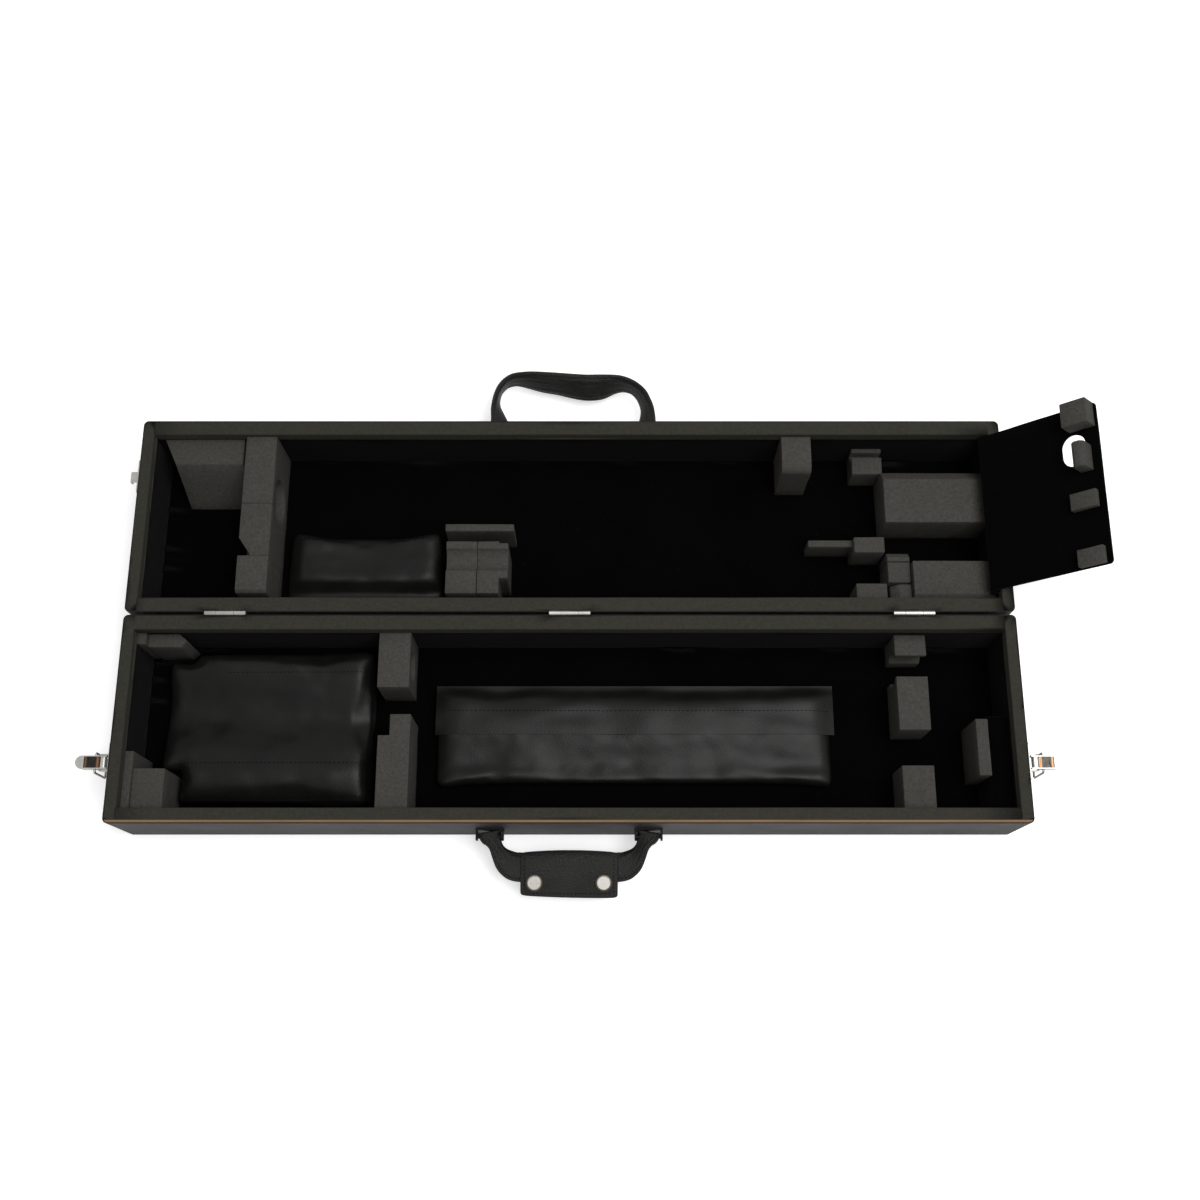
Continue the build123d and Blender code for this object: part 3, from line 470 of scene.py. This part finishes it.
def swell(piece, top, floor, hollow):
    """Blows a closed form up as stuffed cloth, then presses it to the shape that its load gave it."""
    remesh = piece.modifiers.new("weave", "REMESH")
    remesh.mode, remesh.voxel_size = "VOXEL", 0.005
    rest = [v.co.copy() for v in baked(piece).vertices]
    cloth = piece.modifiers.new("stuffing", "CLOTH")
    cloth.settings.use_pressure = True
    cloth.settings.uniform_pressure_force = 4.0
    cloth.settings.effector_weights.gravity = 0.0
    for step in range(1, 21):
        bpy.context.scene.frame_set(step)
    baked(piece)
    bpy.context.scene.frame_set(1)
    furthest, wave_height, ripple_depth, thin_edge = 0.0045, 0.0016, 0.0024, 0.015
    for vertex, before in zip(piece.data.vertices, rest):
        moved = vertex.co - before
        if moved.length > furthest:
            vertex.co = before + moved.normalized() * furthest
        wave = noise.fractal(vertex.co * 26.0, 0.9, 2.0, 3)
        ripple = abs(noise.noise(Vector((vertex.co.x * 9.0, vertex.co.y * 42.0, 3.0))))
        height = (vertex.co.z - floor) * hollow(vertex.co.x, vertex.co.y)
        share = min(1.0, height / thin_edge)
        vertex.co.z = floor + height + (wave * wave_height - ripple * ripple_depth) * share
        vertex.co.z = min(max(vertex.co.z, floor), top)


def dip(value, centre, width):
    """A smooth dip, 1 at its centre."""
    return math.exp(-(((value - centre) / width) ** 2))


def bell_hollow(x, y):
    """The bell's trough along the pouch, deeper to the left, and a lower front edge."""
    along = (x + 0.405) / 0.215
    trough = (0.62 - 0.30 * along) * dip(y, 0.017 - 0.012 * along, 0.036 - 0.010 * along)
    front = 0.30 * dip(y, -0.088, 0.026)
    return 1 - trough - front


def flat_hollow(x, y):
    """A shallow trough under the clarinets' joints."""
    return 1 - 0.30 * dip(y, -0.034, 0.020) - 0.14 * dip(y, 0.052, 0.014)


def lid_hollow(x, y):
    """A flattened front flange, a crease behind it, and a slack middle."""
    slack = 0.20 * dip(y, 0.178, 0.022) * dip(x, -0.212, 0.060)
    return 1 - slack - 0.62 * dip(y, 0.142, 0.009) - 0.42 * dip(y, 0.122, 0.014)


def stuffed_pouch(node, name, hollow):
    """One pouch, a little smaller than its carried solid before it is filled."""
    low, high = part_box(node)
    middle = (low + high) / 2
    form = bmesh.new()
    form.from_mesh(nodes[node].data)
    bmesh.ops.remove_doubles(form, verts=form.verts, dist=weld_reach)
    size = high - low
    slack, flattened = 0.008, 0.0055
    shrink = Matrix.Diagonal((1 - slack / size.x, 1 - slack / size.y, 1 - flattened / size.z, 1))
    centre = Vector((middle.x, middle.y, low.z))
    placed = Matrix.Translation(centre) @ shrink @ Matrix.Translation(-centre)
    bmesh.ops.transform(form, matrix=placed, verts=form.verts)
    piece = shaped(form, name, leatherette.material)
    swell(piece, high.z, low.z, hollow)
    mesh = refined(piece, 1)
    mesh.materials.clear()
    mesh.materials.append(leatherette.material)
    for polygon in mesh.polygons:
        polygon.use_smooth = True
    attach(piece, nodes[node]["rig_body"])
    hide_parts(node)
    return piece


def surface_under(piece):
    """The shape of a piece, for laying stitches on it."""
    form = bmesh.new()
    form.from_mesh(piece.data)
    tree = BVHTree.FromBMesh(form)
    form.free()
    return tree


def stitch(form, at, normal, along, pitch):
    """One thread stitch, sunk a little in the surface."""
    half_width, half_depth, raised = 0.00045, 0.0004, 0.0001
    across = normal.cross(along).normalized()
    turned = Matrix((across, normal.cross(across), normal)).transposed().to_4x4()
    sized = Matrix.Diagonal((half_width, pitch * 0.33, half_depth, 1))
    made = bmesh.ops.create_icosphere(form, subdivisions=1, radius=1.0)
    placed = Matrix.Translation(at + normal * raised) @ turned @ sized
    bmesh.ops.transform(form, matrix=placed, verts=made["verts"])


def threads_from(form, name, body):
    """The finished stitches as one piece."""
    threads = shaped(form, name, thread.material)
    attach(threads, body)


def sewn_rows(name, piece, rows, body, pitch=0.0042, drop=Vector((0, 0, -1))):
    """Straight rows of stitches laid on a piece, seen along the drop direction."""
    surface = surface_under(piece)
    form = bmesh.new()
    above, reach = 0.05, 0.12
    for first, last in rows:
        first, last = Vector(first), Vector(last)
        along = (last - first).normalized()
        for step in range(int((last - first).length / pitch)):
            at = first + along * pitch * (step + 0.5)
            hit, normal, *_ = surface.ray_cast(at - drop * above, drop, reach)
            if hit is not None:
                stitch(form, hit, normal, along, pitch)
    threads_from(form, name, body)


bell_cushion = stuffed_pouch("bell_pouch", "bell_pouch_leather", bell_hollow)
middle_cushion = stuffed_pouch("middle_pouch", "middle_pouch_leather", flat_hollow)
lid_cushion = stuffed_pouch("lid_pouch", "lid_pouch_leather", lid_hollow)


def sewn_band(name, over, low_x, high_x, low_y, high_y, body):
    """A flat band of leatherette sewn across a pouch."""
    surface = surface_under(over)
    form = bmesh.new()
    bmesh.ops.create_grid(form, x_segments=48, y_segments=14, size=0.5)
    middle = Vector(((low_x + high_x) / 2, (low_y + high_y) / 2, 0))
    sized = Matrix.Diagonal((high_x - low_x, high_y - low_y, 1, 1))
    bmesh.ops.transform(form, matrix=Matrix.Translation(middle) @ sized, verts=form.verts)
    above, fallen, raised, eased_up, thickness = 0.08, 0.02, 0.0008, 0.0004, 0.0012
    for vertex in form.verts:
        start = Vector((vertex.co.x, vertex.co.y, above))
        hit, *_ = surface.ray_cast(start, Vector((0, 0, -1)))
        vertex.co.z = (hit.z if hit else fallen) + raised
    bmesh.ops.smooth_vert(form, verts=form.verts, factor=0.5, use_axis_z=True)
    for vertex in form.verts:
        vertex.co.z += eased_up
    bmesh.ops.solidify(form, geom=form.faces[:], thickness=thickness)
    bmesh.ops.recalc_face_normals(form, faces=form.faces)
    piece = shaped(form, name, leatherette.material)
    piece.data.set_sharp_from_angle(angle=crisp)
    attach(piece, body)
    return piece


def row(first_x, last_x, y):
    """A row of stitches along the case, at a height from which every pouch is reached."""
    height = 0.03
    return (first_x, y, height), (last_x, y, height)


bell_strap = sewn_band("bell_pouch_band", bell_cushion, -0.381, -0.194, -0.073, -0.033, "base")
front_row, rear_row = row(-0.378, -0.196, -0.069), row(-0.378, -0.196, -0.037)
rows = [front_row, rear_row, (front_row[0], rear_row[0])]
sewn_rows("bell_band_stitches", bell_strap, rows, "base")
flap = sewn_band("middle_pouch_flap", middle_cushion, -0.134, 0.262, -0.006, 0.044, "base")
sewn_rows("middle_flap_stitches", flap, [row(-0.121, 0.258, 0.0176)], "base")
rows = [row(-0.290, -0.133, y) for y in (0.2035, 0.1995, 0.152)]
sewn_rows("lid_pouch_stitches", lid_cushion, rows, "lid")
rows = [row(-0.370, -0.196, 0.076), row(-0.340, -0.196, 0.054)]
sewn_rows("bell_pouch_rear_stitches", bell_cushion, rows, "base")

# ---- Handles ----
# Padded black leather straps that turn on bracket pins. The legs twist on edge between pin and middle.
# The front strap carries a folded leather wrap, sewn on three sides and closed by two snap buttons.
leather = Paint("handle_leather")
grain = leather.cells(700.0)
rub = leather.speckle(45.0, 5.0)
leather.wear(
    Base_Color=leather.mix(rub, (0.004, 0.004, 0.004), (0.017, 0.0165, 0.015)),
    Roughness=0.36 + rub * 0.2,
    Specular_IOR_Level=0.15,
    Normal=leather.relief(grain, 0.0006, 0.9),
)


def handle_plane(node, side):
    """Carries flat handle coordinates (along the wall, outward from the pins, up) to where it droops."""
    joint = next(j for j in frame["joints"] if j["child"] == nodes[node]["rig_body"])
    droop = math.radians(12.0)
    turn = Matrix.Rotation(-droop * side, 4, "X")
    return Matrix.Translation(Vector(joint["pos_m"])) @ turn @ Matrix.Diagonal((1, side, 1, 1))


def eased(stations, cuts):
    """More stations along a smooth curve through the given ones."""
    run = []
    last = len(stations) - 1
    for index in range(last):
        around = [stations[min(max(index + step, 0), last)] for step in (-1, 0, 1, 2)]
        for cut in range(cuts):
            t = cut / cuts
            weights = (-t + 2 * t**2 - t**3, 2 - 5 * t**2 + 3 * t**3, t + 4 * t**2 - 3 * t**3, t**3 - t**2)
            run.append([sum(w * v for w, v in zip(weights, four)) / 2 for four in zip(*around)])
    return run + [list(stations[last])]


millimetre = 0.001
strap_pitch = 0.0034
seams_at = [(-0.39, 0.36), (0.39, 0.36), (-0.39, -0.36), (0.39, -0.36)]


def strap_section():
    """A strap's cut end, one unit wide and thick: thin at its edges and grooved along its stitches."""
    form = bmesh.new()
    bmesh.ops.create_grid(form, x_segments=20, y_segments=2, size=0.5)
    seam_line, middle_line, line_width = 0.78, 0.34, 0.05
    for vertex in form.verts:
        reach = abs(vertex.co.x) * 2
        groove = 0.30 * dip(reach, seam_line, line_width) + 0.16 * dip(reach, middle_line, line_width)
        vertex.co.y *= (1 - reach**6 * 0.75) - groove
    return form


def places_along(stations):
    """Carries a unit section to each station, square to the run and turned by its twist."""
    centres = [Vector((station[0], station[1], 0)) for station in stations]
    up = Vector((0, 0, 1))
    places = []
    for index, (x, v, width, thick, twist) in enumerate(stations):
        ahead = centres[min(index + 1, len(centres) - 1)] - centres[max(index - 1, 0)]
        along = ahead.normalized()
        across = Vector((along.y, -along.x, 0))
        turn = math.radians(twist)
        wide = across * math.cos(turn) + up * math.sin(turn)
        tall = up * math.cos(turn) - across * math.sin(turn)
        turned = Matrix((wide * width, tall * thick, along)).transposed().to_4x4()
        places.append(Matrix.Scale(millimetre, 4) @ Matrix.Translation(centres[index]) @ turned)
    return places


def draw_through(form, places):
    """Draws a flat section through its places as one closed body."""
    bmesh.ops.transform(form, matrix=places[0], verts=form.verts)
    end = form.faces[:]
    for index, placed in enumerate(places[1:]):
        made = bmesh.ops.extrude_face_region(form, geom=end)
        if index > 0:
            bmesh.ops.delete(form, geom=end, context="FACES")
        grown = [g for g in made["geom"] if isinstance(g, bmesh.types.BMVert)]
        end = [g for g in made["geom"] if isinstance(g, bmesh.types.BMFace)]
        bmesh.ops.transform(form, matrix=placed @ places[index].inverted(), verts=grown)


def sewn_along(name, piece, guides, body):
    """Rows of stitches that follow curved guides, laid on the nearest point of a strap."""
    surface = surface_under(piece)
    form = bmesh.new()
    for guide in guides:
        to_go = strap_pitch
        for first, last in zip(guide, guide[1:]):
            along = (last - first).normalized()
            length = (last - first).length
            while to_go < length:
                hit, normal, *_ = surface.find_nearest(first + along * to_go)
                stitch(form, hit, normal, along, strap_pitch)
                to_go += strap_pitch
            to_go -= length
    threads_from(form, name, body)


def strap(node, name, side, stations):
    """Flat strap lofted through stations: along, outward, width, thickness and twist, in millimetres."""
    body = nodes[node]["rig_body"]
    plane = handle_plane(node, side)
    places = places_along(eased(stations, 4))
    form = strap_section()
    draw_through(form, places)
    bmesh.ops.transform(form, matrix=plane, verts=form.verts)
    bmesh.ops.recalc_face_normals(form, faces=form.faces)
    piece = shaped(form, name, leather.material)
    refined(piece, 1)
    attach(piece, body)
    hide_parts(node)
    guides = [[plane @ placed @ Vector((*seam, 0)) for placed in places] for seam in seams_at]
    sewn_along(f"{name}_stitches", piece, guides, body)


rear_stations = [
    (-76, -5, 21, 9, 0), (-76, 3, 21, 8, -12), (-75.8, 11, 21, 6.5, -31), (-78.7, 24.7, 21, 6, -54),
    (-80.2, 35, 21, 6, -76), (-79.8, 44, 21, 6, -88), (-77.2, 53.9, 21, 6.5, -96),
    (-71.5, 62.4, 22, 6.5, -98), (-65, 66.6, 23, 7, -97), (-58, 68, 24, 7.5, -95), (-45, 66.7, 26, 8, -85),
    (-31, 64.1, 28, 8.5, -79), (-15, 61.8, 29, 9, -76), (1.3, 58.7, 30, 9, -69), (16, 56.8, 30, 9, -62),
    (31, 57.8, 30, 8.5, -67), (43.4, 61, 27, 8, -79), (53.8, 61.6, 25, 7.5, -88), (63.7, 57.8, 23, 7, -89),
    (70.4, 51.1, 22, 6.5, -81), (75, 43.5, 21, 6.5, -71), (77.8, 34.7, 21, 6, -65), (79.2, 26.5, 21, 6, -54),
    (79.3, 18.5, 21, 6.5, -44), (79, 11, 21, 7, -34), (77.5, 3, 21, 8, -10), (77.5, -5, 21, 9, 0),
]
strap("rear_handle_strap", "rear_strap_leather", 1, rear_stations)
front_half = [
    (-76, -5, 24, 8, 0), (-75, -0.5, 22, 7, -8), (-72.5, 4, 18, 6.5, -22), (-70.2, 9.4, 14.5, 6, -32),
    (-66.6, 16, 17.5, 6, -28), (-61.7, 21.8, 23, 6, -18), (-55.7, 26.4, 26.5, 6, -8), (-48, 28.8, 28, 6, -3),
    (-20, 30, 28, 6, 0),
]
mirrored = [(-x, v, width, thick, twist) for x, v, width, thick, twist in reversed(front_half)]
strap("front_handle_strap", "front_strap_leather", -1, front_half + mirrored)


def folded_wrap():
    """The grip: a folded leather wrap, fuller over the strap and thin at its sewn outer edge."""
    length, width, depth, inner_edge = 0.093, 0.0415, 0.0125, 0.015
    half_length = length / 2
    form = bmesh.new()
    bmesh.ops.create_cube(form, size=1.0)
    sized = Matrix.Diagonal((length, width, depth, 1))
    placed = Matrix.Translation((0, inner_edge + width / 2, 0)) @ sized
    bmesh.ops.transform(form, matrix=placed, verts=form.verts)
    bmesh.ops.subdivide_edges(form, edges=form.edges[:], cuts=9, use_grid_fill=True)
    rounding, bulge, skew, crease_height = 0.006, 0.0016, 0.0012, 0.0004
    for vertex in form.verts:
        outward = (vertex.co.y - inner_edge) / width
        edge = min(1.0, (half_length - abs(vertex.co.x)) / rounding)
        flat = 1 - 0.62 * max(0.0, outward - 0.55) / 0.45
        inner = min(1.0, 0.45 + outward * 4.5)
        vertex.co.z *= flat * inner * (0.72 + 0.28 * max(0.0, edge) ** 0.5)
        along = vertex.co.x / half_length
        vertex.co.y += bulge * (1 - along**2) * (outward * 2 - 1.4) + skew * along * outward
        crease = noise.noise(Vector((vertex.co.x * 60.0, vertex.co.y * 25.0, 7.0)))
        vertex.co.z += crease * crease_height * (1 if vertex.co.z > 0 else -1)
    bmesh.ops.transform(form, matrix=handle_plane("front_handle_grip", -1), verts=form.verts)
    bmesh.ops.recalc_face_normals(form, faces=form.faces)
    piece = shaped(form, "front_grip_wrap", leather.material)
    refined(piece, 2)
    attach(piece, "front_handle")
    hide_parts("front_handle_grip")
    return piece


grip = folded_wrap()
plane = handle_plane("front_handle_grip", -1)
corners = [(-0.0425, 0.0185), (-0.0425, 0.0535), (0.0425, 0.0535), (0.0425, 0.0185)]
seam = [plane @ Vector((x, v, 0)) for x, v in corners]
down = (plane.to_3x3() @ Vector((0, 0, -1))).normalized()
rows = [(seam[0], seam[1]), (seam[1], seam[2]), (seam[2], seam[3])]
sewn_rows("grip_stitches", grip, rows, "front_handle", 0.0036, down)

# ---- Room ----
# A pale floor under a broad soft lamp, with a white surround seen by the camera and by polished metal.
pale = Paint("pale_floor")
pale.wear(
    Base_Color=(0.93, 0.93, 0.93, 1),
    Roughness=0.9,
    Specular_IOR_Level=0.1,
    Emission_Color=(1, 1, 1, 1),
    Emission_Strength=0.42,
)
floor_form = bmesh.new()
bmesh.ops.create_grid(floor_form, x_segments=1, y_segments=1, size=6.0)
shaped(floor_form, "floor", pale.material)

world = bpy.data.worlds.new("studio")
bpy.context.scene.world = world
world.use_nodes = True
sky = world.node_tree
rays = sky.nodes.new("ShaderNodeLightPath")
seen = rays.outputs["Is Camera Ray"]
for kind in ("Is Transmission Ray", "Is Glossy Ray"):
    either = sky.nodes.new("ShaderNodeMath")
    either.operation = "MAXIMUM"
    sky.links.new(seen, either.inputs[0])
    sky.links.new(rays.outputs[kind], either.inputs[1])
    seen = either.outputs[0]
strength = sky.nodes.new("ShaderNodeMapRange")
strength.inputs["To Min"].default_value = 0.42
strength.inputs["To Max"].default_value = 1.0
sky.links.new(seen, strength.inputs["Value"])
sky.links.new(strength.outputs["Result"], sky.nodes["Background"].inputs["Strength"])
sky.nodes["Background"].inputs["Color"].default_value = (1, 1, 1, 1)

lamp = bpy.data.lights.new("softbox", "AREA")
lamp.shape, lamp.size, lamp.size_y, lamp.energy = "RECTANGLE", 1.9, 1.6, 58.0
softbox = bpy.data.objects.new("softbox", lamp)
bpy.context.scene.collection.objects.link(softbox)
softbox.location = (0.75, -0.1, 2.6)
aim = Vector((0, 0.1, 0)) - softbox.location
softbox.rotation_euler = aim.to_track_quat("-Z", "Y").to_euler()

lens = bpy.data.cameras.new("camera")
lens.lens, lens.sensor_width = 41.67, 36.0
camera = bpy.data.objects.new("camera", lens)
bpy.context.scene.collection.objects.link(camera)
camera.location = (0.0295, -0.2877, 1.3775)
camera.rotation_euler = (math.radians(17.3), 0, 0)
bpy.context.scene.camera = camera
bpy.context.scene.view_settings.view_transform = "Standard"
